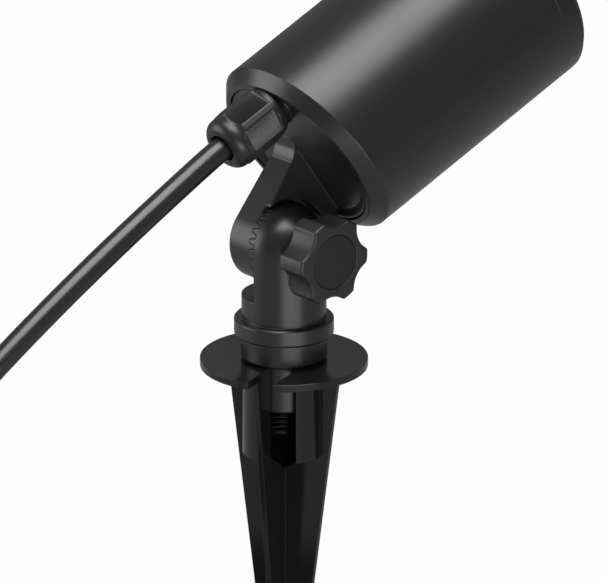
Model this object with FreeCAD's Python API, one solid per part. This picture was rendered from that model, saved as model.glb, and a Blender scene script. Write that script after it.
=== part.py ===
import FreeCAD, Part
import math
import os

# Garden spike spotlight. Millimetres, +Z up, head pointing towards +X, clamp knob towards -Y.
# The origin is the tip of the ground spike, on the axis of the post.

V = FreeCAD.Vector
X_AXIS, Y_AXIS, Z_AXIS = V(1, 0, 0), V(0, 1, 0), V(0, 0, 1)
ORIGIN = V(0, 0, 0)
SLIP = 0.05              # radial clearance of a turning fit
GAP = 0.3                # clearance between neighbours that don't touch

# Ground spike: a disc, four tapering blades and a threaded socket
spike_length = 132.0     # below the disc
blade_thickness = 1.6
blade_reach = 18.0       # from the axis, under the disc
blade_tip_reach = 0.9
spike_turn = 21.2        # blades against the head's direction, degrees
disc_radius = 24.15
disc_thickness = 2.2
socket_wall = 2.0
socket_depth = 27.3      # straight bore below the disc's top
socket_floor = 1.3       # tube below the straight bore
drill_half_angle = 55.0
slot_width = 7.5         # relief slot beside one blade

# Post: threaded stub, flange ring and a domed column
stub_radius = 9.6
stub_length = 14.1
thread_room = 0.4
collar_radius = 12.4
collar_chamfer = 1.0
collar_height = 7.5
ring_radius = 14.35
ring_height = 5.1
ring_chamfer = 0.5
post_radius = 12.2
pivot_height = 34.4      # above the disc's top
flat_drop = 15.1         # ledge of the post's flat, below the pivot
flat_offset = 1.3        # tooth plane, from the post's axis
spot_radius = 4.5        # flat on the dome where the washer bears

# Locking teeth between post and head
tooth_count = 24
tooth_height = 2.0
tooth_inner = 6.6
tooth_draft = 14.0
tooth_play = 0.05

# Clamp: bolt, washer, star knob
bolt_radius = 3.0
bolt_head_width = 10.0
bolt_head_height = 4.0
washer_radius = 5.2
washer_thickness = 0.8
knob_radius = 12.3
knob_lobes = 6
knob_waist = 10.5
scallop_radius = 6.0
knob_thickness = 9.6
knob_hub_radius = 5.6
knob_round = 1.2
cap_radius = 7.9
cap_thickness = 1.2
cap_recess = 0.25
insert_radius = 4.6

# Head: tilted barrel behind a front ring
head_tilt = 22.5         # above the horizontal, degrees
head_rise = 21.6         # head axis above the pivot, square to it
head_radius = 30.2
head_back = 14.6         # rear rim ahead of the pivot, on the head axis
rear_lean = 8.5          # rear rim and cover against square to the axis, top backwards, degrees
barrel_length = 81.5     # rear rim to the front ring's joint
barrel_wall = 2.6
rear_chamfer_length = 3.9
rear_chamfer_depth = 3.6
rim_width = 1.4
rear_recess = 1.5
cover_thickness = 3.4
cover_flange = 2.4
cover_flange_reach = 16.5
seal_width = 2.0
neck_length = 4.5
ring_length = 8.0
front_round = 2.0
lens_radius = 26.8
lens_thickness = 2.2
seal_thickness = 0.8
window_radius = 24.0

# Hinge bracket on the rear cover
ear_radius = 12.2
ear_thickness = 8.4
ear_rise = 27.6          # slope of its upper edge to the head axis, degrees
ear_fall = 36.0          # slope of its lower edge
web_reach = 3.0          # towards the knob, at the pivot's height
web_draft = 10.4         # its flank against the post's axis, degrees
arch_gap = 1.3           # round the post's dome
tilt_down = 30.0         # lowest tilt of the head, where the web clears the column, degrees

# Cable gland
gland_rise = 18.6        # above the head axis
nut_width = 16.0
nut_corner_radius = 8.95
nut_hex_length = 11.5
nut_dome_length = 5.0
nut_mouth_radius = 4.1
nut_wall = 1.9
gland_gap = 0.8
gland_thread_radius = 5.0
gland_thread_length = 5.2
gland_flange_radius = 8.3
gland_flange_length = 1.9
gland_boss_radius = 6.2   # boss on the rear cover
gland_boss_start = 10.5  # ahead of the pivot
cord_radius = 3.5
cord_inside = 14.0       # past the gland's boss

# Lamp, holder and wiring inside the barrel
lamp_radius = 25.0
lamp_length = 50.0
lamp_face = 2.5
lamp_neck_radius = 12.0
lamp_pin_radius = 1.2
lamp_pin_length = 5.0
lamp_pin_spacing = 10.0
holder_radius = 14.0
bridge_width = 12.0
bridge_thickness = 1.0
cover_screw_radius = 1.5
cover_screw_length = 8.0
cover_screw_count = 3
terminal_length = 18.0
terminal_width = 8.0
terminal_height = 7.0
terminal_inset = 4.5     # from the barrel's bore

# Mains plug
plug_radius = 18.5
plug_face_length = 18.0
plug_grip_radius = 12.0
plug_body_length = 42.0
plug_tail_length = 26.0
plug_pin_radius = 2.4
plug_pin_length = 19.0
plug_pin_spacing = 19.0
earth_clip_width = 4.0

# Free cord: hand-set points from inside the head to the coil, then the coil's turns
cord_points = [
    (-29.7, 0.0, 199.8),
    (-73.2, 0.0, 177.4),
    (-113.0, 0.0, 153.9),
    (-142.0, 2.0, 131.0),
    (-165.0, 9.0, 106.0),
    (-178.0, 23.0, 80.0),
    (-180.0, 42.0, 55.0),
    (-171.0, 60.0, 33.0),
    (-152.0, 73.0, 15.5),
    (-124.0, 77.5, 5.0),
]
coil_centre = (-118.0, 22.0)
coil_start_radius = 50.0
coil_start_angle = 60.0
coil_turns_down = 2.8
coil_turns = 4.96
coil_pitch = 7.7
coil_lead = 30.0

# ---------------------------------------------------------------- derived places
disc_under = spike_length
disc_top = disc_under + disc_thickness
pivot = V(0, 0, disc_top + pivot_height)
bore_radius = stub_radius + thread_room
socket_radius = bore_radius + socket_wall
head_end = head_back + barrel_length
barrel_bore = head_radius - barrel_wall
rear_rim_radius = head_radius - rear_chamfer_depth
cover_radius = rear_rim_radius - rim_width
cover_face = head_back + rear_recess
cover_inner = cover_face + cover_thickness
tooth_base = flat_offset
gland_axis_rise = head_rise + gland_rise
nut_front = gland_boss_start - gland_flange_length - gland_gap
nut_back = nut_front - nut_hex_length
nut_mouth = nut_back - nut_dome_length


def head_place(shape):
    """Turns a shape from the head's own frame (x along the head, pivot at 0) into the model's."""
    shape = shape.copy()
    shape.rotate(ORIGIN, Y_AXIS, -head_tilt)
    shape.translate(pivot)
    return shape


def head_point(x, y, z):
    """A point of the head's own frame in the model's frame."""
    t = math.radians(head_tilt)
    return pivot + V(x * math.cos(t) - z * math.sin(t), y, x * math.sin(t) + z * math.cos(t))


def rear_place(shape):
    """Leans a shape of the head's own frame into the rear cover's, about the rim's centre."""
    shape = shape.copy()
    shape.rotate(V(head_back, 0, head_rise), Y_AXIS, -rear_lean)
    return shape


def behind_rear(x):
    """Half-space block behind the leaning plane that meets the head axis at x."""
    size = 8 * head_radius
    block = Part.makeBox(size, size, size, V(x - size, -size / 2, head_rise - size / 2))
    return rear_place(block)


def rod(radius, start, length, axis=Z_AXIS):
    return Part.makeCylinder(radius, length, start, axis)


def revolved(points, centre=ORIGIN, axis=Z_AXIS):
    """Solid of revolution of (radius, height) points about an axis through centre."""
    wire = Part.makePolygon([V(r, 0, h) for r, h in points + points[:1]])
    solid = Part.Face(wire).revolve(ORIGIN, Z_AXIS, 360)
    turn = FreeCAD.Rotation(Z_AXIS, axis)
    solid.Placement = FreeCAD.Placement(centre, turn)
    return Part.Solid(solid) if solid.ShapeType != "Solid" else solid


def along_head(points, rise=head_rise):
    """Solid of revolution of (x, radius) points about the head axis, or one raised above the pivot."""
    return revolved([(r, x) for x, r in points], V(0, 0, rise), X_AXIS)


def hexagon(width, start, length, axis, turn=0.0):
    """Hexagonal bar of a width across its flats."""
    corner = width / math.sqrt(3)
    angles = [math.radians(60 * i + turn) for i in range(7)]
    wire = Part.makePolygon([V(corner * math.cos(a), corner * math.sin(a), 0) for a in angles])
    bar = Part.Face(wire).extrude(V(0, 0, length))
    bar.Placement = FreeCAD.Placement(start, FreeCAD.Rotation(Z_AXIS, axis))
    return bar


def slab(points, thickness, plane):
    """Prism on an outline of (u, w) points, centred on a plane: 'xz' or 'xy'."""
    if plane == "xz":
        wire = Part.makePolygon([V(u, -thickness / 2, w) for u, w in points + points[:1]])
        return Part.Face(wire).extrude(V(0, thickness, 0))
    wire = Part.makePolygon([V(u, w, -thickness / 2) for u, w in points + points[:1]])
    return Part.Face(wire).extrude(V(0, 0, thickness))


# ---------------------------------------------------------------- ground spike
def make_spike():
    outline = [
        (-blade_tip_reach, 0),
        (blade_tip_reach, 0),
        (blade_reach, disc_under),
        (-blade_reach, disc_under),
    ]
    blade = slab(outline, blade_thickness, "xz")
    cross = blade.copy()
    cross.rotate(ORIGIN, Z_AXIS, 90)
    bore_bottom = disc_top - socket_depth
    tube_bottom = bore_bottom - socket_floor
    tube = rod(socket_radius, V(0, 0, tube_bottom), disc_top - tube_bottom)
    disc = rod(disc_radius, V(0, 0, disc_under), disc_thickness)
    body = disc.multiFuse([tube, blade, cross])
    cone_depth = bore_radius / math.tan(math.radians(drill_half_angle))
    bore = rod(bore_radius, V(0, 0, bore_bottom), disc_top - bore_bottom)
    drill = Part.makeCone(0, bore_radius, cone_depth, V(0, 0, bore_bottom - cone_depth), Z_AXIS)
    slot = Part.makeBox(
        disc_radius + 1, slot_width, disc_top - tube_bottom,
        V(-disc_radius - 1, -blade_thickness / 2 - slot_width, tube_bottom),
    )
    body = body.cut(bore.fuse(drill)).cut(slot).removeSplitter()
    body.rotate(ORIGIN, Z_AXIS, spike_turn)
    return body


# ---------------------------------------------------------------- locking teeth
def tooth_ring(outer, grow):
    """Ring of radial teeth, roots at height 0 and crests at tooth_height, about Z."""
    half = math.radians(360.0 / tooth_count / 4)
    lean = tooth_height / 2 * math.tan(math.radians(tooth_draft))

    def corners(height, offset):
        inner, outer_end = tooth_inner - 1, outer + 1
        points = []
        for side, reach in ((-1, inner), (-1, outer_end), (1, outer_end), (1, inner)):
            a = side * half
            along = V(math.cos(a), math.sin(a), 0)
            across = V(-math.sin(a), math.cos(a), 0)
            points.append(along * reach + across * (side * offset) + V(0, 0, height))
        return points

    low, high = corners(0, lean + grow), corners(tooth_height, grow - lean)
    faces = [low, high]
    for i in range(4):
        j = (i + 1) % 4
        faces.append([low[i], low[j], high[j], high[i]])
    shell = Part.Shell([Part.Face(Part.makePolygon(f + f[:1])) for f in faces])
    wedge = Part.Solid(shell)
    if wedge.Volume < 0:
        wedge.reverse()
    band = rod(outer, ORIGIN, tooth_height).cut(rod(tooth_inner, ORIGIN, tooth_height))
    tooth = wedge.common(band)
    teeth = []
    for i in range(tooth_count):
        copy = tooth.copy()
        copy.rotate(ORIGIN, Z_AXIS, i * 360.0 / tooth_count)
        teeth.append(copy)
    return teeth


def teeth_at(y, towards, phase):
    """Teeth standing on the plane y, pointing along +Y or -Y, in a frame with the pivot at 0."""
    placed = []
    for tooth in tooth_ring(post_radius, -tooth_play):
        tooth.rotate(ORIGIN, Z_AXIS, phase)
        tooth.rotate(ORIGIN, X_AXIS, -90 * towards)
        tooth.translate(V(0, y, 0))
        placed.append(tooth)
    return placed


# ---------------------------------------------------------------- post
def make_post():
    stub_bottom = disc_top - stub_length
    ring_bottom = disc_top + collar_height
    ring_top = ring_bottom + ring_height
    outline = [
        (0, stub_bottom),
        (stub_radius - ring_chamfer, stub_bottom),
        (stub_radius, stub_bottom + ring_chamfer),
        (stub_radius, disc_top),
        (collar_radius - collar_chamfer, disc_top),
        (collar_radius, disc_top + collar_chamfer),
        (collar_radius, ring_bottom),
        (ring_radius - ring_chamfer, ring_bottom),
        (ring_radius, ring_bottom + ring_chamfer),
        (ring_radius, ring_top - ring_chamfer),
        (ring_radius - ring_chamfer, ring_top),
        (post_radius, ring_top),
        (post_radius, pivot.z),
        (0, pivot.z),
    ]
    body = revolved(outline).fuse(Part.makeSphere(post_radius, pivot))
    size = 4 * post_radius
    ledge = pivot.z - flat_drop
    flat = Part.makeBox(size, size, size, V(-size / 2, tooth_base - tooth_height, ledge))
    spot = rod(knob_radius + GAP, V(0, -spot_depth() - size, pivot.z), size, Y_AXIS)
    body = body.cut(flat).cut(spot)
    root = teeth_at(tooth_base - tooth_height, 1, 0)
    for tooth in root:
        tooth.translate(pivot)
    body = body.multiFuse(root)
    hole = rod(bolt_radius + SLIP, pivot - Y_AXIS * size / 2, size, Y_AXIS)
    return body.cut(hole).removeSplitter()


# ---------------------------------------------------------------- rear cover with its hinge bracket
def bracket_outline():
    """Side outline of the bracket: round end at the pivot, two straight edges to the cover."""
    rise, fall = math.radians(ear_rise), math.radians(ear_fall)
    x_end = cover_face + head_radius * math.tan(math.radians(rear_lean)) + cover_thickness
    top = V(-ear_radius * math.sin(rise), 0, ear_radius * math.cos(rise))
    top_end = V(x_end, 0, top.z + (x_end - top.x) * math.tan(rise))
    low = V(ear_radius * math.sin(fall), 0, -ear_radius * math.cos(fall))
    low_end = V(x_end, 0, low.z + (x_end - low.x) * math.tan(fall))
    back = V(-ear_radius, 0, 0)
    edges = [
        Part.Arc(low, back, top).toShape(),
        Part.LineSegment(top, top_end).toShape(),
        Part.LineSegment(top_end, low_end).toShape(),
        Part.LineSegment(low_end, low).toShape(),
    ]
    return Part.Face(Part.Wire(edges))


def make_bracket():
    outline = bracket_outline()
    ear_inner = tooth_base
    ear_outer = tooth_base + ear_thickness
    ear = outline.copy()
    ear.translate(V(0, ear_inner, 0))
    ear = ear.extrude(V(0, ear_thickness, 0))
    web = outline.copy()
    web.translate(V(0, -2 * web_reach, 0))
    web = web.extrude(V(0, 2 * web_reach + ear_outer, 0))
    size = 4 * head_radius
    arch = rod(post_radius + arch_gap, V(0, -size, 0), size + ear_inner, Y_AXIS)
    flank = Part.makeBox(size, size, 2 * size, V(-size / 2, -size, -size))
    flank.rotate(ORIGIN, X_AXIS, -web_draft)
    flank.translate(V(0, -web_reach, 0))
    column = rod(post_radius + GAP, V(0, 0, -size), size)
    column.rotate(ORIGIN, Y_AXIS, -tilt_down)
    column = column.cut(Part.makeBox(size, size, 2 * size, V(-size / 2, ear_inner, -size)))
    body = ear.fuse(web.cut(arch).cut(flank).cut(column))
    half_pitch = 180.0 / tooth_count
    body = body.multiFuse(teeth_at(ear_inner, -1, half_pitch - head_tilt))
    bolt = rod(bolt_radius + SLIP, V(0, -size / 2, 0), size, Y_AXIS)
    pocket_y = ear_outer - bolt_head_height
    pocket = hexagon(bolt_head_width + 2 * GAP, V(0, pocket_y, 0), size, Y_AXIS)
    return body.cut(bolt).cut(pocket)


def make_rear_cover():
    disc = rear_place(along_head([
        (cover_face, 0), (cover_face, cover_radius - SLIP),
        (cover_inner, cover_radius - SLIP), (cover_inner, 0),
    ]))
    rim_start = head_back - GAP
    depth = 4 * head_radius
    rim = rod(4 * head_radius, V(rim_start, 0, head_rise), depth, X_AXIS)
    rim = rim.cut(rod(cover_radius - SLIP, V(rim_start, 0, head_rise), depth, X_AXIS))
    bracket = make_bracket().cut(rear_place(rim)).common(behind_rear(cover_face + cover_thickness / 2))
    boss_base = V(gland_boss_start, 0, gland_axis_rise)
    boss = rod(gland_boss_radius, boss_base, head_radius, X_AXIS)
    boss = boss.common(behind_rear(cover_face + cover_thickness / 2))
    body = disc.multiFuse([bracket, boss])
    hole = rod(gland_thread_radius, boss_base, head_radius, X_AXIS)
    body = body.cut(hole)
    for centre in cover_screw_centres():
        body = body.cut(rear_place(rod(cover_screw_radius, centre, cover_thickness - 1, X_AXIS * -1)))
    return head_place(body.removeSplitter())


def cover_screw_centres():
    """Points on the cover's inner face where the screws enter it."""
    reach = cover_radius - seal_width - 2 * cover_screw_radius + GAP
    angles = [math.radians(90 + 360.0 / cover_screw_count * i) for i in range(cover_screw_count)]
    return [
        V(cover_inner, reach * math.cos(a), head_rise - reach * math.sin(a)) for a in angles
    ]


# ---------------------------------------------------------------- barrel, front ring and window
def flange_back_face():
    return cover_inner + seal_thickness


def lean_section(x, radius):
    """Ellipse where the rear frame's plane x cuts a cylinder about the head axis."""
    lean = math.radians(rear_lean)
    centre = V(x, 0, head_rise - (x - head_back) * math.tan(lean))
    ellipse = Part.Ellipse(centre + Z_AXIS * radius / math.cos(lean), centre + Y_AXIS * radius, centre)
    return Part.Wire([ellipse.toShape()])


def make_housing():
    chamfer_end = head_back + rear_chamfer_length
    flange_end = flange_back_face() + cover_flange
    neck_radius = barrel_bore + barrel_wall / 2
    neck_end = head_end + neck_length
    tail = head_back - head_radius
    outer = along_head([
        (tail, 0), (tail, head_radius), (head_end, head_radius), (head_end, neck_radius),
        (neck_end, neck_radius), (neck_end, 0),
    ])
    chamfer = Part.makeLoft([
        lean_section(chamfer_end, head_radius), lean_section(head_back, rear_rim_radius),
    ], True, True)
    body = outer.cut(behind_rear(chamfer_end)).fuse(rear_place(chamfer))
    cavity = along_head([
        (tail, 0), (tail, barrel_bore), (head_end - 2, barrel_bore), (head_end, barrel_bore - 1),
        (neck_end, barrel_bore - 1), (neck_end, 0),
    ])
    seat = rod(cover_radius, V(tail, 0, head_rise), flange_back_face() - tail, X_AXIS)
    opening = rod(cover_flange_reach, V(tail, 0, head_rise), flange_end - tail, X_AXIS)
    body = body.cut(cavity.cut(behind_rear(flange_end)))
    body = body.cut(rear_place(seat)).cut(rear_place(opening))
    for centre in cover_screw_centres():
        screw_hole = rod(cover_screw_radius + GAP / 3, centre, 4 * cover_flange, X_AXIS)
        body = body.cut(rear_place(screw_hole))
    gland_room = rod(gland_thread_radius + GAP, V(head_back, 0, gland_axis_rise), head_radius, X_AXIS)
    return head_place(body.cut(gland_room))


def make_rear_seal():
    inner = cover_radius - seal_width
    return head_place(rear_place(along_head([
        (cover_inner, inner), (cover_inner, cover_radius - SLIP),
        (flange_back_face(), cover_radius - SLIP), (flange_back_face(), inner),
    ])))


def make_cover_screws():
    flange_end = flange_back_face() + cover_flange
    screws = []
    for centre in cover_screw_centres():
        shank_start = V(flange_end, centre.y, centre.z)
        shank = rod(cover_screw_radius, shank_start, cover_screw_length - 2, X_AXIS * -1)
        head = rod(2 * cover_screw_radius, shank_start, cover_screw_radius * 1.2, X_AXIS)
        head = head.cut(hexagon(2 * cover_screw_radius * 0.8, shank_start + X_AXIS * 0.8, 5, X_AXIS))
        reach = cover_inner - (cover_thickness - 1)
        body = shank.fuse(head).cut(Part.makeBox(200, 200, 200, V(reach - 200, -100, -100)))
        screws.append(head_place(rear_place(body)))
    return Part.makeCompound(screws)


def make_front_ring():
    neck_radius = barrel_bore + barrel_wall / 2
    end = head_end + ring_length
    outline = [
        (head_end, neck_radius + SLIP),
        (head_end, head_radius),
        (end - front_round, head_radius),
        (end, head_radius - front_round),
        (end, window_radius),
        (window_back() + lens_thickness + SLIP, window_radius),
        (window_back() + lens_thickness + SLIP, neck_radius + SLIP),
    ]
    ring = along_head(outline)
    return head_place(ring)


def window_back():
    """Rear face of the window, on its seal."""
    return head_end + neck_length + seal_thickness


def make_window_seal():
    start = head_end + neck_length
    return head_place(along_head([
        (start, window_radius), (start, lens_radius), (window_back(), lens_radius), (window_back(), window_radius),
    ]))


def make_window():
    return head_place(along_head([
        (window_back(), 0), (window_back(), lens_radius),
        (window_back() + lens_thickness, lens_radius), (window_back() + lens_thickness, 0),
    ]))


# ---------------------------------------------------------------- lamp and wiring
def lamp_front():
    return head_end + neck_length - 1.0


def make_lamp():
    front = lamp_front() - lamp_face
    back = lamp_front() - lamp_length
    neck = back + 16
    body = along_head([
        (back, 0), (back, lamp_neck_radius - 1), (back + 1, lamp_neck_radius), (neck, lamp_neck_radius),
        (neck + 8, lamp_neck_radius + 5), (front - 5, lamp_radius - 1), (front, lamp_radius),
        (front, 0),
    ])
    return head_place(body)


def make_lamp_lens():
    front = lamp_front() - lamp_face
    return head_place(along_head([
        (front, 0), (front, lamp_radius), (lamp_front() - 1, lamp_radius),
        (lamp_front(), lamp_radius - 1), (lamp_front(), 0),
    ]))


def make_lamp_pins():
    back = lamp_front() - lamp_length
    pins = []
    for side in (-1, 1):
        start = V(back, side * lamp_pin_spacing / 2, head_rise)
        pin = rod(lamp_pin_radius, start, lamp_pin_length, X_AXIS * -1)
        foot = rod(lamp_pin_radius * 1.8, start - X_AXIS * (lamp_pin_length - 1.6), 1.6, X_AXIS * -1)
        pins.append(head_place(pin.fuse(foot)))
    return Part.makeCompound(pins)


def holder_start():
    """Rear frame's plane of the lamp holder's back, on the bridge."""
    return flange_back_face() + cover_flange + bridge_thickness


def make_lamp_holder():
    end = lamp_front() - lamp_length
    body = rod(holder_radius, V(head_back, 0, head_rise), end - head_back, X_AXIS)
    body = body.cut(behind_rear(holder_start()))
    for side in (-1, 1):
        seat = V(end, side * lamp_pin_spacing / 2, head_rise)
        body = body.cut(rod(lamp_pin_radius * 1.8 + GAP, seat, lamp_pin_length + GAP, X_AXIS * -1))
    return head_place(body)


def make_holder_bridge():
    """Pressed strip across the flange that carries the lamp holder."""
    start = flange_back_face() + cover_flange
    strip = Part.makeBox(bridge_thickness, 2 * (barrel_bore - 6), bridge_width,
                         V(start, -(barrel_bore - 6), head_rise - bridge_width / 2))
    inside = rod(barrel_bore - GAP, V(start, 0, head_rise), bridge_thickness, X_AXIS)
    return head_place(rear_place(strip.common(inside)))


def make_terminal_block():
    start = holder_start() + GAP
    low = head_rise - barrel_bore + terminal_inset
    body = Part.makeBox(terminal_width, terminal_length, terminal_height,
                        V(start, -terminal_length / 2, low))
    for i in (-1, 0, 1):
        y = i * terminal_length / 3
        body = body.cut(rod(1.3, V(start - 1, y, low + terminal_height / 2), terminal_width + 2, X_AXIS))
    body.rotate(V(0, 0, head_rise), X_AXIS, 180.0 / cover_screw_count)
    return head_place(rear_place(body))


# ---------------------------------------------------------------- cable gland
def make_gland_body():
    inner = cord_radius + GAP
    seat = nut_back + 2.0
    neck = nut_corner_radius - nut_wall - SLIP
    flange_back = nut_front + gland_gap
    thread_end = gland_boss_start + gland_thread_length
    outline = [
        (seat, neck), (flange_back, neck),
        (flange_back, gland_flange_radius), (gland_boss_start, gland_flange_radius),
        (gland_boss_start, gland_thread_radius), (thread_end, gland_thread_radius),
        (thread_end, inner), (nut_front - 4, inner),
        (nut_front - 4, neck - 1.2), (seat, neck - 1.2),
    ]
    return head_place(along_head(outline, gland_axis_rise))


def make_gland_seal():
    neck = nut_corner_radius - nut_wall - SLIP - 1.2
    return head_place(along_head([
        (nut_back + 0.5, cord_radius + SLIP), (nut_back + 0.5, nut_mouth_radius + 0.6),
        (nut_back + 2.0, neck), (nut_front - 4, neck), (nut_front - 4, cord_radius + SLIP),
    ], gland_axis_rise))


def make_gland_nut():
    hexed = hexagon(nut_width, V(nut_back, 0, gland_axis_rise), nut_hex_length, X_AXIS, 30)
    outline = [
        (nut_mouth, 0), (nut_mouth, nut_mouth_radius + 1.4),
        (nut_back, nut_corner_radius), (nut_front, nut_corner_radius), (nut_front, 0),
    ]
    turned = along_head(outline, gland_axis_rise)
    dome = along_head([
        (nut_mouth, 0), (nut_mouth, nut_mouth_radius + 1.4), (nut_mouth + 1.2, nut_corner_radius - 1.9),
        (nut_mouth + 3.0, nut_corner_radius - 0.7), (nut_back, nut_width / 2), (nut_back, 0),
    ], gland_axis_rise)
    body = hexed.common(turned).fuse(dome)
    cavity = nut_corner_radius - nut_wall
    body = body.cut(rod(cavity, V(nut_back + 0.4, 0, gland_axis_rise), nut_hex_length, X_AXIS))
    body = body.cut(rod(nut_mouth_radius, V(nut_mouth, 0, gland_axis_rise), nut_dome_length + 1, X_AXIS))
    return head_place(body)


# ---------------------------------------------------------------- clamp bolt and knob
def spot_depth():
    """Distance of the post's knob-side flat from the post's axis."""
    return math.sqrt(post_radius**2 - spot_radius**2)


def hub_back():
    """Distance of the washer's outer face, where the knob's hub bears, from the post's axis."""
    return spot_depth() + washer_thickness


def knob_back():
    """Distance of the knob's body, clear of the post, from the post's axis."""
    return post_radius + GAP


def make_clamp_bolt():
    head_start = tooth_base + ear_thickness - bolt_head_height
    tip = knob_back() + knob_thickness - cap_thickness - 1.0
    head = hexagon(bolt_head_width, V(0, head_start, 0), bolt_head_height, Y_AXIS)
    shank = rod(bolt_radius, V(0, -tip, 0), tip + head_start, Y_AXIS)
    return head_place(head.fuse(shank))


def make_washer():
    start = V(0, -hub_back(), 0)
    ring = rod(washer_radius, start, washer_thickness, Y_AXIS)
    return head_place(ring.cut(rod(bolt_radius + SLIP, start, washer_thickness, Y_AXIS)))


def make_knob():
    front = -(knob_back() + knob_thickness)
    body = rod(knob_radius, V(0, front, 0), knob_thickness, Y_AXIS)
    body = body.makeFillet(knob_round, [e for e in body.Edges if abs(e.BoundBox.YMax - front) < 0.01])
    reach = knob_waist + scallop_radius
    cuts = []
    for i in range(knob_lobes):
        a = math.radians(360.0 / knob_lobes * (i + 0.5))
        centre = V(reach * math.cos(a), front - 1, reach * math.sin(a))
        cuts.append(rod(scallop_radius, centre, knob_thickness + 2, Y_AXIS))
    cuts.append(rod(cap_radius, V(0, front, 0), cap_thickness + cap_recess, Y_AXIS))
    hub = rod(knob_hub_radius, V(0, -knob_back(), 0), knob_back() - hub_back(), Y_AXIS)
    bore = rod(insert_radius, V(0, front, 0), knob_thickness + knob_back() - hub_back(), Y_AXIS)
    return head_place(body.cut(Part.makeCompound(cuts)).fuse(hub).cut(bore).removeSplitter())


def make_knob_insert():
    front = V(0, cap_recess + cap_thickness - knob_back() - knob_thickness, 0)
    length = -hub_back() - front.y
    body = rod(insert_radius, front, length, Y_AXIS)
    return head_place(body.cut(rod(bolt_radius + SLIP, front, length, Y_AXIS)))


def make_knob_cap():
    start = -(knob_back() + knob_thickness) + cap_recess
    return head_place(rod(cap_radius, V(0, start, 0), cap_thickness, Y_AXIS))


# ---------------------------------------------------------------- cord
def tube_path(points, report):
    """Straight runs joined by tangent arcs as large as the runs allow."""
    edges, last, radii = [], points[0], []
    for before, corner, after in zip(points, points[1:], points[2:]):
        run_in, run_out = (corner - before).Length, (after - corner).Length
        into = (corner - before).normalize()
        out = (after - corner).normalize()
        half_turn = into.getAngle(out) / 2
        setback = 0.45 * min(run_in, run_out)
        radius = setback / math.tan(half_turn)
        start, end = corner - into * setback, corner + out * setback
        towards = (start + end) * 0.5 - corner
        middle = corner + towards.normalize() * (radius / math.cos(half_turn) - radius)
        edges.append(Part.LineSegment(last, start).toShape())
        edges.append(Part.Arc(start, middle, end).toShape())
        last = end
        radii.append(round(radius, 1))
    edges.append(Part.LineSegment(last, points[-1]).toShape())
    print(report, "arc radii", radii, "length", round(sum(e.Length for e in edges), 1))
    return edges


def tube(edges):
    """Round tube along a chain of edges."""
    path = Part.Wire(edges)
    start = edges[0].valueAt(edges[0].FirstParameter)
    along = edges[0].tangentAt(edges[0].FirstParameter)
    ring = Part.Wire([Part.Circle(start, along, cord_radius).toShape()])
    solid = path.makePipeShell([ring], True, False)
    print("tube volume against section times length", round(solid.Volume / (
        math.pi * cord_radius**2 * path.Length), 4), "valid", solid.isValid())
    return solid


def coil_point(turn):
    """Centreline of the coil: it spirals in, climbs a layer while it reverses, and spirals out."""
    inward = min(turn, 2 * coil_turns_down - turn)
    radius = coil_start_radius - coil_pitch * inward
    angle = math.radians(coil_start_angle - 360.0 * turn)
    climb = min(max((turn - coil_turns_down + 0.25) / 0.5, 0.0), 1.0)
    lift = min(max((turn - coil_turns + 0.4) / 0.4, 0.0), 1.0)
    step = coil_pitch * climb * climb * (3 - 2 * climb)
    rise = (plug_radius - cord_radius - coil_pitch) * lift * lift * (3 - 2 * lift)
    return V(coil_centre[0] + radius * math.cos(angle), coil_centre[1] + radius * math.sin(angle),
             cord_radius + step + rise)


def coil_tangent(turn):
    step = 0.002
    return (coil_point(turn + step) - coil_point(turn - step)).normalize()


def biarc(p0, t0, p1, t1):
    """Two tangent arcs from one point and direction to another."""
    chord = p1 - p0
    both = t0 + t1
    a = 2 * (1 - t0.dot(t1))
    b = 2 * chord.dot(both)
    c = chord.dot(chord)
    if abs(a) < 1e-9:
        reach = c / b
    else:
        reach = (-b + math.sqrt(b * b + 4 * a * c)) / (2 * a)
    joint = (p0 + p1 + (t0 - t1) * reach) * 0.5
    return [arc_from(p0, t0, joint), arc_from(p1, t1 * -1, joint, True)]


def arc_from(start, direction, end, backwards=False):
    """Arc that leaves start along direction and reaches end."""
    chord = end - start
    across = chord - direction * chord.dot(direction)
    radius = chord.dot(chord) / (2 * across.Length)
    centre = start + across.normalize() * radius
    towards_middle = ((start + end) * 0.5 - centre).normalize()
    middle = centre + towards_middle * radius
    if backwards:
        return Part.Arc(end, middle, start).toShape()
    return Part.Arc(start, middle, end).toShape()


def coil_edges():
    steps = int(round(coil_turns * 4))
    turns = [coil_turns * i / steps for i in range(steps + 1)]
    edges = []
    for t0, t1 in zip(turns, turns[1:]):
        edges += biarc(coil_point(t0), coil_tangent(t0), coil_point(t1), coil_tangent(t1))
    return edges


def least_gap(edges):
    """Smallest clear distance between a coiled tube's surface and itself."""
    points, travelled = [], 0.0
    for edge in edges:
        count = max(int(edge.Length / 2), 2)
        for i in range(count):
            points.append((travelled + edge.Length * i / count, edge.valueAt(
                edge.FirstParameter + (edge.LastParameter - edge.FirstParameter) * i / count)))
        travelled += edge.Length
    apart = 30.0
    return min(
        (p - q).Length for i, (s, p) in enumerate(points) for r, q in points[i:] if r - s > apart
    ) - 2 * cord_radius


def cord_start():
    return head_point(gland_boss_start + cord_inside, 0, gland_axis_rise)


def make_cord():
    start_tangent = coil_tangent(0)
    coil_start = coil_point(0)
    points = [cord_start()] + [V(*p) for p in cord_points] + [coil_start - start_tangent * 2 * cord_radius]
    edges = tube_path(points, "cord")
    edges.append(Part.LineSegment(points[-1], coil_start).toShape())
    return tube(edges)


def coil_path():
    start, start_t = coil_point(0), coil_tangent(0)
    end, end_t = coil_point(coil_turns), coil_tangent(coil_turns)
    end_t = V(end_t.x, end_t.y, 0).normalize()
    return coil_edges() + [Part.LineSegment(end, end + end_t * coil_lead).toShape()]


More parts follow.
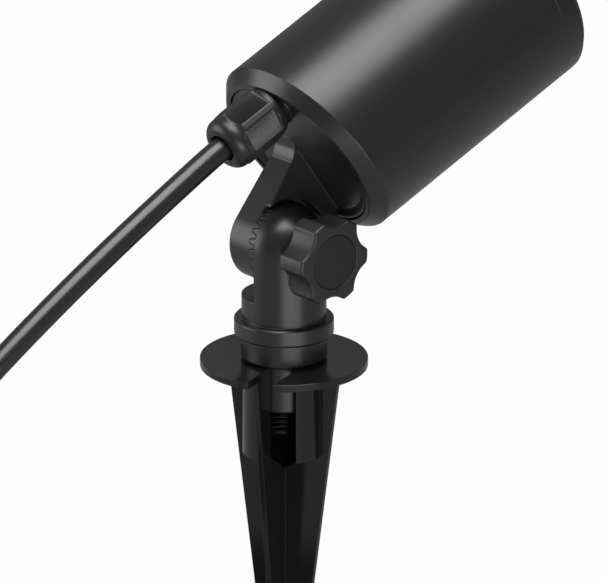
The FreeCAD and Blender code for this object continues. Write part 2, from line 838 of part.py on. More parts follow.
def make_coil():
    edges = coil_path()
    length = sum(e.Length for e in edges)
    print("coil length", round(length, 1), "least gap", round(least_gap(edges), 2))
    return tube(edges)


# ---------------------------------------------------------------- plug
def plug_frame():
    """Start point and direction of the plug, where the coil's end meets it."""
    end, end_t = coil_point(coil_turns), coil_tangent(coil_turns)
    end_t = V(end_t.x, end_t.y, 0).normalize()
    return end + end_t * coil_lead, end_t


def plug_place(shape):
    start, along = plug_frame()
    shape = shape.copy()
    shape.Placement = FreeCAD.Placement(start, FreeCAD.Rotation(X_AXIS, along)).multiply(shape.Placement)
    return shape


def plug_length():
    return plug_tail_length + plug_body_length


def make_plug_body():
    tail, end = plug_tail_length, plug_length()
    face = end - plug_face_length
    body = revolved([
        (0, 0), (cord_radius + 1.2, 0), (cord_radius + 2.6, tail), (plug_grip_radius - 2, tail + 1.5),
        (plug_grip_radius, tail + 8), (plug_grip_radius, face - 6), (plug_radius - 1.5, face),
        (plug_radius, face + 2), (plug_radius, end - 1), (plug_radius - 1, end), (0, end),
    ], ORIGIN, X_AXIS)
    for side in (-1, 1):
        notch = Part.makeBox(plug_face_length, earth_clip_width + 2 * GAP, 4,
                             V(face + 3, -earth_clip_width / 2 - GAP, plug_radius - 3 if side > 0 else -plug_radius - 1))
        body = body.cut(notch)
    return plug_place(body)


def make_plug_pins():
    pins = []
    for side in (-1, 1):
        pin = rod(plug_pin_radius, V(plug_length(), side * plug_pin_spacing / 2, 0), plug_pin_length, X_AXIS)
        pin = pin.makeChamfer(0.8, [e for e in pin.Edges if abs(e.BoundBox.XMin - plug_length() - plug_pin_length) < 0.01])
        pins.append(plug_place(pin))
    return Part.makeCompound(pins)


def make_earth_clips():
    face = plug_length() - plug_face_length
    clips = []
    for side in (-1, 1):
        low = plug_radius - 3 if side > 0 else -plug_radius + 2
        clips.append(plug_place(Part.makeBox(
            plug_face_length - 3, earth_clip_width, 1.0, V(face + 3, -earth_clip_width / 2, low))))
    return Part.makeCompound(clips)


PARTS = {
    "spike": make_spike,
    "post": make_post,
    "rear_cover": make_rear_cover,
    "rear_seal": make_rear_seal,
    "cover_screws": make_cover_screws,
    "housing": make_housing,
    "front_ring": make_front_ring,
    "window_seal": make_window_seal,
    "window": make_window,
    "lamp_body": make_lamp,
    "lamp_lens": make_lamp_lens,
    "lamp_pins": make_lamp_pins,
    "lamp_holder": make_lamp_holder,
    "holder_bridge": make_holder_bridge,
    "terminal_block": make_terminal_block,
    "gland_body": make_gland_body,
    "gland_seal": make_gland_seal,
    "gland_nut": make_gland_nut,
    "clamp_bolt": make_clamp_bolt,
    "clamp_washer": make_washer,
    "knob": make_knob,
    "knob_insert": make_knob_insert,
    "knob_cap": make_knob_cap,
    "cord": make_cord,
    "cord_coil": make_coil,
    "plug_body": make_plug_body,
    "plug_pins": make_plug_pins,
    "plug_earth_clips": make_earth_clips,
}

os.makedirs("parts", exist_ok=True)
for name, make in PARTS.items():
    shape = make()
    if shape.ShapeType == "Compound" and len(shape.Solids) == 1:
        shape = shape.Solids[0]
    if not shape.isValid():
        print("invalid", name)
    print(name, shape.ShapeType, len(shape.Solids), round(shape.Volume, 1))
    shape.exportStep("parts/%s.step" % name)
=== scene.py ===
import math

import bmesh
import bpy
from mathutils import Matrix, Vector


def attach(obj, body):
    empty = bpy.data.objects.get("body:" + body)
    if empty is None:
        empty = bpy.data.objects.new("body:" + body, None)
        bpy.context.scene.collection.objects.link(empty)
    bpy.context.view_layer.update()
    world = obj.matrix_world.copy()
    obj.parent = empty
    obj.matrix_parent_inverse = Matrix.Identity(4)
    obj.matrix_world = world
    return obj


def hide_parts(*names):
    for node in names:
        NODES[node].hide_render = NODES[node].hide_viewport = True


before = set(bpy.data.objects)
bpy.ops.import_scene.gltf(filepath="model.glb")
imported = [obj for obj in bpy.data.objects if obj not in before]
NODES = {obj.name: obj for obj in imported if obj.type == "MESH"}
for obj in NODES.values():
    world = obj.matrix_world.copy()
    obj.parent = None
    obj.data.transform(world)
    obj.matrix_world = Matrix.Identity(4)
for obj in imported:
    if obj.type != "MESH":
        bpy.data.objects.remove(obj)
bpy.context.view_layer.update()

# Lengths are in millimetres and become metres where a mesh, a place or a shader takes them.
MM = 0.001

# ---------------------------------------------------------------- the model's places
TILT = math.radians(22.5)
PIVOT_HEIGHT = 168.6
DISC_TOP = 134.2
HEAD_RISE = 21.6          # the barrel's axis above the pivot, square to the axis
GLAND_RISE = 40.2         # the gland's axis above the pivot, square to the axis
HEAD_BACK = 14.6          # the barrel's rear edge ahead of the pivot, on the barrel's axis
REAR_LEAN = math.radians(8.5)
SPIKE_TURN = math.radians(21.2)
CORD_RADIUS = 3.5


def shift(x, y, z):
    return Matrix.Translation((x * MM, y * MM, z * MM))


HEAD = shift(0, 0, PIVOT_HEIGHT) @ Matrix.Rotation(-TILT, 4, "Y")
REAR = HEAD @ shift(HEAD_BACK, 0, HEAD_RISE) @ Matrix.Rotation(-REAR_LEAN, 4, "Y")
SPIKE_FRAME = Matrix.Rotation(SPIKE_TURN, 4, "Z")


def gland_point(x):
    """A point on the gland's axis, in metres; x is its place along the head, ahead of the pivot."""
    return HEAD @ Vector((x * MM, 0, GLAND_RISE * MM))


# ---------------------------------------------------------------- camera
PHOTO_WIDTH, PHOTO_HEIGHT = 608, 583
LOOK = Vector((0.625, 0.706, -0.334)).normalized()
PIXELS_PER_METRE = 3484.0
CAMERA_DISTANCE = 3.0     # metres
CAMERA_REACH = 50         # metres
AIM_POINT = Vector((0, 0, DISC_TOP * MM))
AIM_PIXEL = (284.0, 356.5)
SENSOR = 36.0


def place_camera():
    """Camera that looks along LOOK and shows the aim point at its pixel of the photo."""
    right = LOOK.cross(Vector((0, 0, 1))).normalized()
    up = right.cross(LOOK)
    centre = (
        AIM_POINT
        + right * ((PHOTO_WIDTH / 2 - AIM_PIXEL[0]) / PIXELS_PER_METRE)
        - up * ((PHOTO_HEIGHT / 2 - AIM_PIXEL[1]) / PIXELS_PER_METRE)
    )
    data = bpy.data.cameras.new("camera")
    data.type = "PERSP"
    data.sensor_width = SENSOR
    data.sensor_fit = "HORIZONTAL"
    data.lens = SENSOR * CAMERA_DISTANCE / (PHOTO_WIDTH / PIXELS_PER_METRE)
    data.clip_end = CAMERA_REACH
    camera = bpy.data.objects.new("camera", data)
    camera.location = centre - LOOK * CAMERA_DISTANCE
    camera.rotation_euler = LOOK.to_track_quat("-Z", "Y").to_euler()
    bpy.context.scene.collection.objects.link(camera)
    bpy.context.scene.camera = camera
    bpy.context.scene.view_settings.view_transform = "Standard"


place_camera()


# ---------------------------------------------------------------- materials
NOISE_RANGE = (0.3, 0.7)  # most of a noise's values
PATCH_SCALE = 60          # slow changes of gloss on moulded surfaces, per metre
GLASS_PATCH_SCALE = 40
PLASTIC_BUMP = 0.6
METAL_BUMP = 0.5
METAL_GRAIN = 8           # metal's grain, times as fine as its changes of gloss
METAL_GRAIN_DEPTH = 0.02
METAL_EDGE = 0.3
METAL_CHANGE = (-0.05, 0.08)  # of roughness
GLASS_CHANGE = 0.01
GLASS_IOR = 1.5


def new_material(name, color, roughness, metallic=0.0, specular=0.5):
    material = bpy.data.materials.new(name)
    material.use_nodes = True
    tree = material.node_tree
    shader = tree.nodes["Principled BSDF"]
    shader.inputs["Base Color"].default_value = (*color, 1)
    shader.inputs["Roughness"].default_value = roughness
    shader.inputs["Metallic"].default_value = metallic
    shader.inputs["Specular IOR Level"].default_value = specular
    return material, tree, shader


def noise(tree, scale, detail=3.0):
    coordinates = tree.nodes.new("ShaderNodeTexCoord")
    node = tree.nodes.new("ShaderNodeTexNoise")
    node.inputs["Scale"].default_value = scale
    node.inputs["Detail"].default_value = detail
    tree.links.new(coordinates.outputs["Object"], node.inputs["Vector"])
    return node.outputs["Fac"]


def vary_roughness(tree, shader, scale, low, high):
    """A slow change of gloss over the surface."""
    node = tree.nodes.new("ShaderNodeMapRange")
    for socket, number in zip(("From Min", "From Max", "To Min", "To Max"), (*NOISE_RANGE, low, high)):
        node.inputs[socket].default_value = number
    tree.links.new(noise(tree, scale), node.inputs["Value"])
    tree.links.new(node.outputs["Result"], shader.inputs["Roughness"])


def add_bump(tree, shader, height, depth, strength, edge):
    """Bump of a depth, over edges rounded to a radius."""
    bump = tree.nodes.new("ShaderNodeBump")
    bump.inputs["Strength"].default_value = strength
    bump.inputs["Distance"].default_value = depth * MM
    tree.links.new(height, bump.inputs["Height"])
    if edge:
        soft = tree.nodes.new("ShaderNodeBevel")
        soft.samples = 8
        soft.inputs["Radius"].default_value = edge * MM
        tree.links.new(soft.outputs["Normal"], bump.inputs["Normal"])
    tree.links.new(bump.outputs["Normal"], shader.inputs["Normal"])


def plastic(name, color, roughness, change, specular, grain, depth, edge):
    """Moulded or coated surface: slow changes of gloss, a fine grain and soft edges."""
    material, tree, shader = new_material(name, color, roughness, specular=specular)
    vary_roughness(tree, shader, PATCH_SCALE, roughness - change, roughness + change)
    add_bump(tree, shader, noise(tree, grain), depth, PLASTIC_BUMP, edge)
    return material


def metal(name, color, roughness, scale):
    material, tree, shader = new_material(name, color, roughness, metallic=1.0)
    vary_roughness(tree, shader, scale, roughness + METAL_CHANGE[0], roughness + METAL_CHANGE[1])
    grain = noise(tree, scale * METAL_GRAIN, detail=2.0)
    add_bump(tree, shader, grain, METAL_GRAIN_DEPTH, METAL_BUMP, METAL_EDGE)
    return material


def glass(name, color, roughness, weight):
    material, tree, shader = new_material(name, color, roughness)
    shader.inputs["Transmission Weight"].default_value = weight
    shader.inputs["IOR"].default_value = GLASS_IOR
    vary_roughness(tree, shader, GLASS_PATCH_SCALE, roughness - GLASS_CHANGE, roughness + GLASS_CHANGE)
    return material


# colour, roughness, its change, specular level, grain per metre, the grain's depth, radius of the edges
PLASTICS = {
    "coat": ((0.011, 0.011, 0.0115), 0.32, 0.02, 0.58, 2600, 0.03, 0.5),
    "cover_coat": ((0.011, 0.011, 0.0115), 0.34, 0.02, 0.55, 2600, 0.03, 0.6),
    "spike_plastic": ((0.009, 0.009, 0.0095), 0.13, 0.015, 0.42, 900, 0.01, 0.3),
    "nylon": ((0.013, 0.013, 0.0135), 0.38, 0.04, 0.5, 1800, 0.04, 0.4),
    "nut_nylon": ((0.013, 0.013, 0.0135), 0.36, 0.02, 0.5, 1800, 0.02, 0.0),
    "knob_nylon": ((0.016, 0.016, 0.0165), 0.42, 0.04, 0.5, 2200, 0.06, 0.3),
    "cap_nylon": ((0.014, 0.014, 0.0145), 0.55, 0.04, 0.35, 3200, 0.12, 0.2),
    "seal_rubber": ((0.014, 0.014, 0.014), 0.6, 0.04, 0.4, 2200, 0.06, 0.2),
    "cord_rubber": ((0.013, 0.013, 0.0135), 0.27, 0.02, 0.62, 1400, 0.03, 0.0),
    "plug_rubber": ((0.016, 0.016, 0.0165), 0.5, 0.04, 0.45, 1500, 0.08, 0.6),
    "ceramic": ((0.78, 0.77, 0.73), 0.6, 0.04, 0.4, 1500, 0.05, 0.3),
    "lamp_white": ((0.8, 0.8, 0.78), 0.3, 0.04, 0.5, 600, 0.02, 0.3),
}
# colour, roughness, changes of gloss per metre
METALS = {
    "stainless": ((0.55, 0.55, 0.56), 0.32, 250),
    "plated": ((0.72, 0.71, 0.68), 0.2, 200),
    "brass": ((0.72, 0.55, 0.27), 0.28, 220),
}
# colour, roughness, share of light let through
GLASSES = {
    "window_glass": ((0.95, 0.98, 0.98), 0.015, 1.0),
    "lamp_lens": ((0.95, 0.95, 0.92), 0.25, 0.9),
}
FINISH = {
    "spike": "spike_plastic", "post": "coat", "rear_cover": "cover_coat", "rear_seal": "seal_rubber",
    "cover_screws": "plated", "housing": "coat", "front_ring": "coat", "window_seal": "seal_rubber",
    "window": "window_glass", "lamp_body": "lamp_white", "lamp_lens": "lamp_lens", "lamp_pins": "plated",
    "lamp_holder": "ceramic", "holder_bridge": "stainless", "terminal_block": "ceramic",
    "gland_seal": "seal_rubber", "clamp_bolt": "stainless", "clamp_washer": "stainless",
    "knob_insert": "brass", "knob_cap": "cap_nylon", "plug_body": "plug_rubber", "plug_pins": "plated",
    "plug_earth_clips": "plated",
}

MATERIAL = {name: plastic(name, *row) for name, row in PLASTICS.items()}
MATERIAL.update({name: metal(name, *row) for name, row in METALS.items()})
MATERIAL.update({name: glass(name, *row) for name, row in GLASSES.items()})
for node, finish in FINISH.items():
    mesh = NODES[node].data
    mesh.materials.clear()
    mesh.materials.append(MATERIAL[finish])


# ---------------------------------------------------------------- mesh helpers
def solid_from_rings(name, rings, place, material, body, smooth_under=40, ends=False):
    """Closed solid through rings of points, capped at its ends or joined end to end."""
    bm = bmesh.new()
    rows = [[bm.verts.new(place @ (point * MM)) for point in ring] for ring in rings]
    nexts = rows[1:] if ends else rows[1:] + rows[:1]
    for row, following in zip(rows, nexts):
        for i, corner in enumerate(row):
            j = (i + 1) % len(row)
            bm.faces.new((corner, row[j], following[j], following[i]))
    if ends:
        bm.faces.new(rows[0])
        bm.faces.new(rows[-1])
    bmesh.ops.recalc_face_normals(bm, faces=bm.faces)
    mesh = bpy.data.meshes.new(name)
    bm.to_mesh(mesh)
    bm.free()
    mesh.materials.append(MATERIAL[material])
    mesh.shade_smooth()
    mesh.set_sharp_from_angle(angle=math.radians(smooth_under))
    obj = bpy.data.objects.new(name, mesh)
    bpy.context.scene.collection.objects.link(obj)
    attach(obj, body)
    return obj


def turned(outline, axis_height, count=96):
    """Rings of a closed outline of (x, radius) turned about a line along X at a height."""
    turns = [2 * math.pi * i / count for i in range(count)]
    return [
        [Vector((x, radius * math.cos(a), axis_height + radius * math.sin(a))) for a in turns]
        for x, radius in outline
    ]


def blend_up(value, low, high):
    """0 below low, 1 above high and smooth between."""
    t = min(max((value - low) / (high - low), 0.0), 1.0)
    return t * t * (3 - 2 * t)


# ---------------------------------------------------------------- gland nut, ribbed on its six faces
NUT_FRONT = 8.3           # the nut's end at the cover, ahead of the pivot
NUT_MOUTH = -8.7          # the nut's end where the cord leaves
NUT_LENGTH = NUT_FRONT - NUT_MOUTH
NUT_TURN = math.radians(12)
NUT_FLAT = 8.0            # axis to a face
NUT_LAND = 8.72           # axis to a corner's flat land
NUT_CORNER = 8.95         # largest radius
NUT_CAVITY = 7.05
NUT_CAVITY_START = 5.4    # from the mouth
NUT_CHAMFER = 0.25
MOUTH_RADIUS = 4.1
DOME_RIM = 5.0
DOME_RADIUS = 7.95
DOME_LENGTH = 3.2
DOME_STEPS = 12
CONE_START = 3.9          # from the mouth, where the faces begin in their middle
CONE_END = 5.7            # from the mouth, where the cone has reached the corners
CONE_STEP = 0.25
RIBS = 13
RIB_DEPTH = 0.26
RIB_SAMPLES = 6
RIB_FADE_IN = (4.3, 5.1)  # from the mouth
RIB_FADE_OUT = (0.5, 0.9)  # from the end at the cover
RIB_SHARE = 0.97          # of a face's width
LAND_SAMPLES = 8
CORNER_ANGLE = math.pi / 6


def nut_angles():
    """Angles round one face and the land after it, each with its place in a rib from 0 to 1, or None."""
    half_face = (NUT_LAND - NUT_FLAT * math.cos(CORNER_ANGLE)) / math.sin(CORNER_ANGLE)
    half_ribs = math.atan(half_face / NUT_FLAT) * RIB_SHARE
    angles = []
    for i in range(RIBS * RIB_SAMPLES):
        across = -1 + 2 * i / (RIBS * RIB_SAMPLES)
        angles.append((math.atan(across * math.tan(half_ribs)), i % RIB_SAMPLES / RIB_SAMPLES))
    for i in range(LAND_SAMPLES):
        angles.append((half_ribs + 2 * (CORNER_ANGLE - half_ribs) * i / LAND_SAMPLES, None))
    return angles


def nut_limit(from_mouth):
    """Radius of the round form that cuts the hexagon: a rounded end, then a cone."""
    if from_mouth < DOME_LENGTH:
        rest = 1 - from_mouth / DOME_LENGTH
        return DOME_RIM + (DOME_RADIUS - DOME_RIM) * math.sqrt(1 - rest * rest)
    if from_mouth < CONE_START:
        return DOME_RADIUS
    rise = (from_mouth - CONE_START) / (CONE_END - CONE_START)
    return DOME_RADIUS + (NUT_CORNER - DOME_RADIUS) * rise


def nut_radius(angle, in_rib, from_mouth):
    """Outer radius at an angle from the middle of a face."""
    face = NUT_FLAT / math.cos(angle) if abs(angle) < CORNER_ANGLE else NUT_CORNER
    radius = min(face, NUT_LAND / math.cos(CORNER_ANGLE - angle))
    if in_rib is not None:
        shown = blend_up(from_mouth, *RIB_FADE_IN) * blend_up(NUT_LENGTH - from_mouth, *RIB_FADE_OUT)
        radius -= RIB_DEPTH * shown * (0.5 - 0.5 * math.cos(2 * math.pi * in_rib))
    return min(radius, NUT_CORNER, nut_limit(from_mouth))


def nut_stations():
    """Places of the outer rings from the mouth, close together where the form changes."""
    stations = [DOME_LENGTH * (1 - math.cos(math.pi / 2 * i / DOME_STEPS)) for i in range(DOME_STEPS + 1)]
    stations += [CONE_START + CONE_STEP * i for i in range(9)]
    stations += [6.0, 8.0, 12.0]
    stations += [NUT_LENGTH - rest for rest in (0.95, 0.7, 0.45, 0.2)]
    return stations


def make_nut():
    face = nut_angles()

    def ring(from_mouth, radius_at):
        points = []
        for side in range(6):
            for angle, in_rib in face:
                r = radius_at(angle, in_rib)
                turn = angle + side * math.pi / 3 + NUT_TURN
                points.append(Vector((
                    NUT_MOUTH + from_mouth, -r * math.cos(turn), GLAND_RISE + r * math.sin(turn),
                )))
        return points

    rings = [ring(x, lambda a, p, x=x: nut_radius(a, p, x)) for x in nut_stations()]
    rings.append(ring(NUT_LENGTH, lambda a, p: nut_radius(a, p, NUT_LENGTH) - NUT_CHAMFER))
    inner = [
        (NUT_LENGTH, NUT_CAVITY), (NUT_CAVITY_START, NUT_CAVITY), (NUT_CAVITY_START, MOUTH_RADIUS),
        (0.6, MOUTH_RADIUS), (0.25, MOUTH_RADIUS + 0.12), (0.05, MOUTH_RADIUS + 0.4),
        (0.0, MOUTH_RADIUS + 0.6),
    ]
    rings += [ring(x, lambda a, p, r=r: r) for x, r in inner]
    nut = solid_from_rings(
        "nut_ribbed", rings, HEAD, "nut_nylon", "gland_nut", smooth_under=32,
    )
    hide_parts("gland_nut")


make_nut()

# ---------------------------------------------------------------- gland body, smaller at its flange
GLAND_TUBE = 6.8          # radius inside the nut
GLAND_POCKET = 5.7        # radius of the seal's pocket
GLAND_FLANGE = 7.4
GLAND_SHANK = 5.0
GLAND_BORE = 4.3
FLANGE_CHAMFER = 0.3


def make_gland_body():
    outline = [
        (-1.7, GLAND_POCKET), (-1.7, GLAND_TUBE), (8.5, GLAND_TUBE), (8.5, GLAND_FLANGE - FLANGE_CHAMFER),
        (8.5 + FLANGE_CHAMFER, GLAND_FLANGE), (10.6, GLAND_FLANGE), (10.6, GLAND_SHANK),
        (15.7, GLAND_SHANK), (15.7, GLAND_BORE), (3.8, GLAND_BORE), (3.8, GLAND_POCKET),
    ]
    rings = turned(outline, GLAND_RISE)
    body = solid_from_rings("gland_core", rings, HEAD, "nylon", "head")
    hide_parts("gland_body")


make_gland_body()

# ---------------------------------------------------------------- slope at the cover's edge
COVER_RADIUS = 25.2
COVER_RECESS = 1.5        # the cover's face inside the rim
SEAM = 0.3                # between the cover's edge and the rim
EDGE_WIDTH = 2.8
EDGE_TOP = 0.34           # the slope's highest line inside the rim
EDGE_LIFT = 0.01          # the slope's start above the cover's face
EDGE_FOOT = 0.15          # how deep the slope is sunk in the cover
EDGE_ROUND = 0.35
EDGE_STEPS = 8


def make_cover_edge():
    """Soft slope from the recessed cover up to its edge, a seam's width inside the rim."""
    outer = COVER_RADIUS - SEAM
    inner = outer - EDGE_WIDTH
    start = COVER_RECESS - EDGE_LIFT
    outline = [(COVER_RECESS + EDGE_FOOT, outer), (COVER_RECESS + EDGE_FOOT, inner)]
    for i in range(EDGE_STEPS + 1):
        t = i / EDGE_STEPS
        x = start + (EDGE_TOP - start) * blend_up(t, 0, 1)
        outline.append((x, inner + (EDGE_WIDTH - EDGE_ROUND) * t))
    outline += [(0.42, outer - 0.15), (0.62, outer)]
    solid_from_rings("cover_edge", turned(outline, 0, 160), REAR, "coat", "head")


make_cover_edge()

# ---------------------------------------------------------------- fillet at the bracket's top
EAR_RADIUS = 12.2
TOP_RISE = math.radians(27.6)  # slope of the bracket's top edge
EAR_FAR_SIDE = 9.7
WEB_REACH = 3.0           # the bracket's near side from the middle, at the pivot's height
WEB_DRAFT = math.radians(10.4)
FILLET_SIZE = 4.5
FILLET_STEPS = 8
FILLET_SINK = 0.4         # how deep the fillet's back is sunk
FILLET_INSET = 0.02       # inside the bracket's sides


def cover_face_x(z):
    """Place of the cover's face along the head, at a height above the pivot."""
    up_face = (z - HEAD_RISE - COVER_RECESS * math.sin(REAR_LEAN)) / math.cos(REAR_LEAN)
    return HEAD_BACK + COVER_RECESS * math.cos(REAR_LEAN) - up_face * math.sin(REAR_LEAN)


def bracket_corner():
    """Where the bracket's top edge, a tangent of its round ear, reaches the cover's face."""
    edge_x = -EAR_RADIUS * math.sin(TOP_RISE)
    edge_z = EAR_RADIUS * math.cos(TOP_RISE)
    z = edge_z
    for _ in range(20):
        z = edge_z + (cover_face_x(z) - edge_x) * math.tan(TOP_RISE)
    return Vector((cover_face_x(z), 0, z))


def make_top_fillet():
    """Concave strip in the corner between the bracket's top and the cover's face."""
    corner = bracket_corner()
    down_top = Vector((-math.cos(TOP_RISE), 0, -math.sin(TOP_RISE)))
    up_cover = Vector((-math.sin(REAR_LEAN), 0, math.cos(REAR_LEAN)))
    start = corner + down_top * FILLET_SIZE
    end = corner + up_cover * FILLET_SIZE
    section = []
    for i in range(FILLET_STEPS + 1):
        t = i / FILLET_STEPS
        section.append(start * (1 - t) ** 2 + corner * (2 * t * (1 - t)) + end * t * t)
    sunk = -(down_top + up_cover).normalized() * FILLET_SINK
    section += [end + sunk, corner + sunk * 1.5, start + sunk]
    near = [
        Vector((p.x, -WEB_REACH + p.z * math.tan(WEB_DRAFT) + FILLET_INSET, p.z)) for p in section
    ]
    far = [Vector((p.x, EAR_FAR_SIDE - FILLET_INSET, p.z)) for p in section]
    solid_from_rings(
        "fillet_top", [near, far], HEAD, "coat", "head", smooth_under=30, ends=True,
    )


make_top_fillet()

# ---------------------------------------------------------------- star knob
KNOB_BACK = -12.5
KNOB_FRONT = -22.1
KNOB_RADIUS = 12.7
KNOB_EDGE = 0.8
KNOB_EDGE_STEPS = 6
KNOB_CHAMFER = 0.3        # at the back
KNOB_POINTS = 360
SCALLOP_RADIUS = 8.0
SCALLOP_CENTRE = 18.5     # from the knob's axis
KNOB_PHASE = math.radians(34)
LOBE_SPREAD = math.radians(1.6)  # half the width of the mean that rounds the lobes' corners
CAP_HOLE = 8.05
CAP_FLOOR = -20.65
INSERT_RADIUS = 4.6
HUB_RADIUS = 5.6
HUB_BACK = -12.14


def lobe_radius(angle):
    """The knob's outline: six scallops cut into a circle."""
    pitch = math.pi / 3
    off = (angle - KNOB_PHASE) % pitch - pitch / 2
    inside = SCALLOP_RADIUS**2 - (SCALLOP_CENTRE * math.sin(off))**2
    if inside <= 0:
        return KNOB_RADIUS
    return min(KNOB_RADIUS, SCALLOP_CENTRE * math.cos(off) - math.sqrt(inside))


def soft_lobe_radius(angle):
    """The same outline with its corners rounded by a short running mean."""
    return sum(lobe_radius(angle + LOBE_SPREAD * k / 4) for k in range(-4, 5)) / 9


def make_knob():
    angles = [2 * math.pi * i / KNOB_POINTS for i in range(KNOB_POINTS)]
    outline = [soft_lobe_radius(a) for a in angles]

    def lobed(y, inset):
        return [
            Vector(((r - inset) * math.cos(a), y, (r - inset) * math.sin(a))) for a, r in zip(angles, outline)
        ]

    def round_ring(y, radius):
        return [Vector((radius * math.cos(a), y, radius * math.sin(a))) for a in angles]

    rings = [lobed(KNOB_BACK, KNOB_CHAMFER), lobed(KNOB_BACK - KNOB_CHAMFER, 0)]
    for i in range(KNOB_EDGE_STEPS + 1):
        a = math.pi / 2 * i / KNOB_EDGE_STEPS
        rings.append(lobed(KNOB_FRONT + KNOB_EDGE * (1 - math.sin(a)), KNOB_EDGE * (1 - math.cos(a))))
    rings += [
        round_ring(KNOB_FRONT, CAP_HOLE + 0.28), round_ring(KNOB_FRONT + 0.08, CAP_HOLE + 0.08),
        round_ring(KNOB_FRONT + 0.3, CAP_HOLE), round_ring(CAP_FLOOR, CAP_HOLE),
        round_ring(CAP_FLOOR, INSERT_RADIUS), round_ring(HUB_BACK, INSERT_RADIUS),
        round_ring(HUB_BACK, HUB_RADIUS), round_ring(KNOB_BACK, HUB_RADIUS),
    ]
    knob = solid_from_rings("star_knob", rings, HEAD, "knob_nylon", "knob", smooth_under=35)
    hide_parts("knob")


make_knob()

# ---------------------------------------------------------------- spike's socket: drilled floor and thread
BORE_RADIUS = 10.0
BORE_BOTTOM = 106.9
DRILL_TIP = 99.9
SOCKET_BOTTOM = 105.6
FLOOR_START = math.radians(-90)
FLOOR_SWEEP = math.radians(270)
FLOOR_STEPS = 48
THREAD_PITCH = 1.5
THREAD_HEIGHT = 0.75
THREAD_TURNS = 8
THREAD_FIRST = 0.65       # the first turn above the bore's bottom
THREAD_START = math.radians(237)
THREAD_SWEEP = math.radians(307)
THREAD_STEPS = 60


def at_turn(radius, turn, z):
    return Vector((radius * math.cos(turn), radius * math.sin(turn), z))


def make_socket_floor():
    """Conical floor left by the drill, in the three quarters that the slot doesn't open."""
    section = [
        (0.02, DRILL_TIP), (BORE_RADIUS - 0.1, BORE_BOTTOM + 0.05), (BORE_RADIUS + 1.2, BORE_BOTTOM + 0.05),
        (BORE_RADIUS + 1.2, SOCKET_BOTTOM + 0.3), (BORE_RADIUS - 1.0, SOCKET_BOTTOM - 1.0),
        (0.02, DRILL_TIP - 1.5),
    ]
    turns = [FLOOR_START + FLOOR_SWEEP * i / FLOOR_STEPS for i in range(FLOOR_STEPS + 1)]
    rings = [[at_turn(r, turn, z) for r, z in section] for turn in turns]
    solid_from_rings(
        "socket_floor", rings, SPIKE_FRAME, "spike_plastic", "spike",
        smooth_under=30, ends=True,
    )


def make_thread():
    """Thread on the socket's wall, cut away at the slot."""
    profile = [
        (0.3, -0.62), (-0.05, -0.6), (-0.6, -0.16), (-THREAD_HEIGHT, 0), (-0.6, 0.16), (-0.05, 0.6),
        (0.3, 0.62),
    ]
    sweeps = [THREAD_SWEEP * i / THREAD_STEPS for i in range(THREAD_STEPS + 1)]
    for number in range(THREAD_TURNS):
        rings = []
        for sweep in sweeps:
            z = BORE_BOTTOM + THREAD_FIRST + THREAD_PITCH * (number + sweep / (2 * math.pi))
            turn = THREAD_START + sweep
            rings.append([at_turn(BORE_RADIUS + out, turn, z + rise) for out, rise in profile])
        solid_from_rings(
            "thread_%d" % number, rings, SPIKE_FRAME, "spike_plastic", "spike",
            smooth_under=50, ends=True,
        )


make_socket_floor()
make_thread()

# ---------------------------------------------------------------- cord
CORD_START = 12           # inside the gland, ahead of the pivot
CORD_STRAIGHT = -6        # to here the cord stays on the gland's axis
CORD_POINTS = [
    (-29.7, 0.0, 199.8), (-73.2, 0.0, 177.4), (-113.0, 0.0, 153.9), (-142.0, 2.0, 131.0),
    (-165.0, 9.0, 106.0), (-178.0, 23.0, 80.0), (-180.0, 42.0, 55.0), (-171.0, 60.0, 33.0),
    (-152.0, 73.0, 15.5), (-124.0, 77.5, 5.0),
]
COIL_CENTRE = (-118.0, 22.0)
COIL_RADIUS = 50.0
COIL_ANGLE = 60.0
TURNS_IN = 2.8            # turns of the lower layer, laid inwards
TURNS = 4.96
PITCH = 7.7
CLIMB = 0.25              # turns before and after the change of layer
LIFT = 0.4                # turns over which the end rises to the plug
PLUG_RADIUS = 18.5
LEAD = 30.0               # straight length before the plug
POINTS_PER_TURN = 16


def coil_point(turn):
    """Control point of the coil; it stands a little outside the line that the spline follows."""
    radius = COIL_RADIUS - PITCH * min(turn, 2 * TURNS_IN - turn)
    radius /= math.cos(math.pi / POINTS_PER_TURN)
    angle = math.radians(COIL_ANGLE - 360 * turn)
    z = CORD_RADIUS + PITCH * blend_up(turn, TURNS_IN - CLIMB, TURNS_IN + CLIMB)
    z += (PLUG_RADIUS - CORD_RADIUS - PITCH) * blend_up(turn, TURNS - LIFT, TURNS)
    return Vector((COIL_CENTRE[0] + radius * math.cos(angle), COIL_CENTRE[1] + radius * math.sin(angle), z))


def cord_route():
    """Control points from the gland to the plug, in metres."""
    steps = round(TURNS * POINTS_PER_TURN)
    laid = [Vector(point) for point in CORD_POINTS]
    laid += [coil_point(TURNS * i / steps) for i in range(steps + 1)]
    ahead = laid[-1] - laid[-2]
    ahead = Vector((ahead.x, ahead.y, 0)).normalized()
    laid += [laid[-1] + ahead * LEAD * 0.5, laid[-1] + ahead * LEAD]
    return [gland_point(CORD_START), gland_point(CORD_STRAIGHT)] + [point * MM for point in laid]


def nurbs(name, points, radius, material):
    curve = bpy.data.curves.new(name, "CURVE")
    curve.dimensions = "3D"
    curve.bevel_depth = radius * MM
    curve.bevel_resolution = 8
    curve.resolution_u = 10
    curve.use_fill_caps = True
    spline = curve.splines.new("NURBS")
    spline.points.add(len(points) - 1)
    for point, place in zip(spline.points, points):
        point.co = (*place, 1)
    spline.order_u = 3
    spline.use_endpoint_u = True
    curve.materials.append(MATERIAL[material])
    obj = bpy.data.objects.new(name, curve)
    bpy.context.scene.collection.objects.link(obj)
    return obj


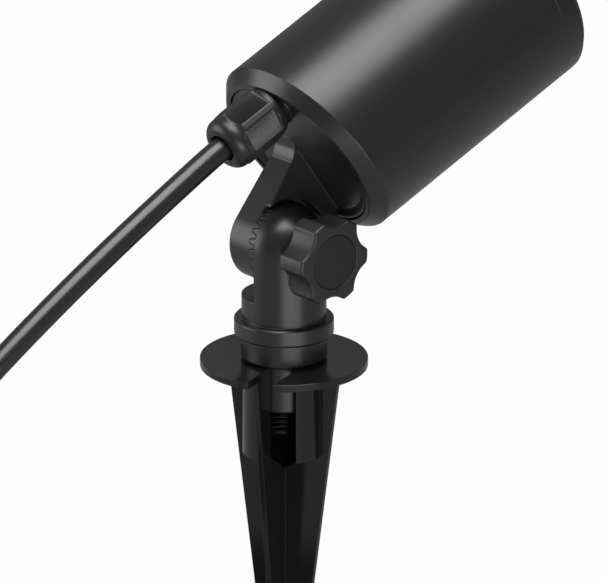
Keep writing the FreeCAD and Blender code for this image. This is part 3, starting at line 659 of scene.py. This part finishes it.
flex = nurbs("flex", cord_route(), CORD_RADIUS, "cord_rubber")
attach(flex, "head")
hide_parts("cord", "cord_coil")

# ---------------------------------------------------------------- floor
FLOOR_GREY = 0.3
FLOOR_ROUGHNESS = 0.9
FLOOR_SIZE = 14.0         # metres
FLOOR_DROP = 0.2          # below the object's lowest point
# how much of the plain white background each kind of ray sees in place of the lit floor
WHITE_SHARES = {"Is Camera Ray": 0.98, "Is Glossy Ray": 0.08, "Is Transmission Ray": 0.8}


def make_floor_material():
    material, tree, shader = new_material("floor", (FLOOR_GREY,) * 3, FLOOR_ROUGHNESS, specular=0.0)
    path = tree.nodes.new("ShaderNodeLightPath")
    white = tree.nodes.new("ShaderNodeEmission")
    white.inputs["Color"].default_value = (1, 1, 1, 1)
    white.inputs["Strength"].default_value = 1.0
    mix = tree.nodes.new("ShaderNodeMixShader")
    total = None
    for ray, share in WHITE_SHARES.items():
        node = tree.nodes.new("ShaderNodeMath")
        node.operation = "MULTIPLY_ADD"
        node.inputs[1].default_value = share
        node.inputs[2].default_value = 0.0
        tree.links.new(path.outputs[ray], node.inputs[0])
        if total:
            tree.links.new(total, node.inputs[2])
        total = node.outputs[0]
    tree.links.new(total, mix.inputs[0])
    tree.links.new(shader.outputs[0], mix.inputs[1])
    tree.links.new(white.outputs[0], mix.inputs[2])
    tree.links.new(mix.outputs[0], tree.nodes["Material Output"].inputs["Surface"])
    return material


def make_floor():
    mesh = bpy.data.meshes.new("floor")
    half = FLOOR_SIZE / 2
    corners = [(-half, -half, 0), (half, -half, 0), (half, half, 0), (-half, half, 0)]
    mesh.from_pydata(corners, [], [(0, 1, 2, 3)])
    mesh.materials.append(make_floor_material())
    obj = bpy.data.objects.new("floor", mesh)
    obj.location = (0, 0, -FLOOR_DROP * MM)
    bpy.context.scene.collection.objects.link(obj)


make_floor()

# ---------------------------------------------------------------- light, in metres
WORLD_LEVEL = 0.22
TARGET = Vector((0.02, 0, 0.17))


def make_world():
    world = bpy.data.worlds.new("world")
    bpy.context.scene.world = world
    world.use_nodes = True
    background = world.node_tree.nodes["Background"]
    background.inputs["Color"].default_value = (1, 1, 1, 1)
    background.inputs["Strength"].default_value = WORLD_LEVEL


def softbox(name, azimuth, elevation, distance, width, height, radiance):
    """Area light seen from the target at an azimuth and elevation in degrees, facing it."""
    turn = math.radians(azimuth)
    lift = math.radians(elevation)
    direction = Vector((math.cos(turn) * math.cos(lift), math.sin(turn) * math.cos(lift), math.sin(lift)))
    data = bpy.data.lights.new(name, "AREA")
    data.shape = "RECTANGLE"
    data.size = width
    data.size_y = height
    data.energy = radiance * math.pi * width * height
    obj = bpy.data.objects.new(name, data)
    obj.location = TARGET + direction * distance
    obj.rotation_euler = (-direction).to_track_quat("-Z", "Y").to_euler()
    obj.visible_camera = False
    bpy.context.scene.collection.objects.link(obj)


make_world()
softbox("key_above", azimuth=-125, elevation=79, distance=1.4, width=1.15, height=1.15, radiance=6.0)
softbox("card_front", azimuth=-113, elevation=-10, distance=0.5, width=0.42, height=0.16, radiance=4.6)
softbox("wall_left", azimuth=140, elevation=8, distance=0.95, width=0.6, height=0.75, radiance=3.0)
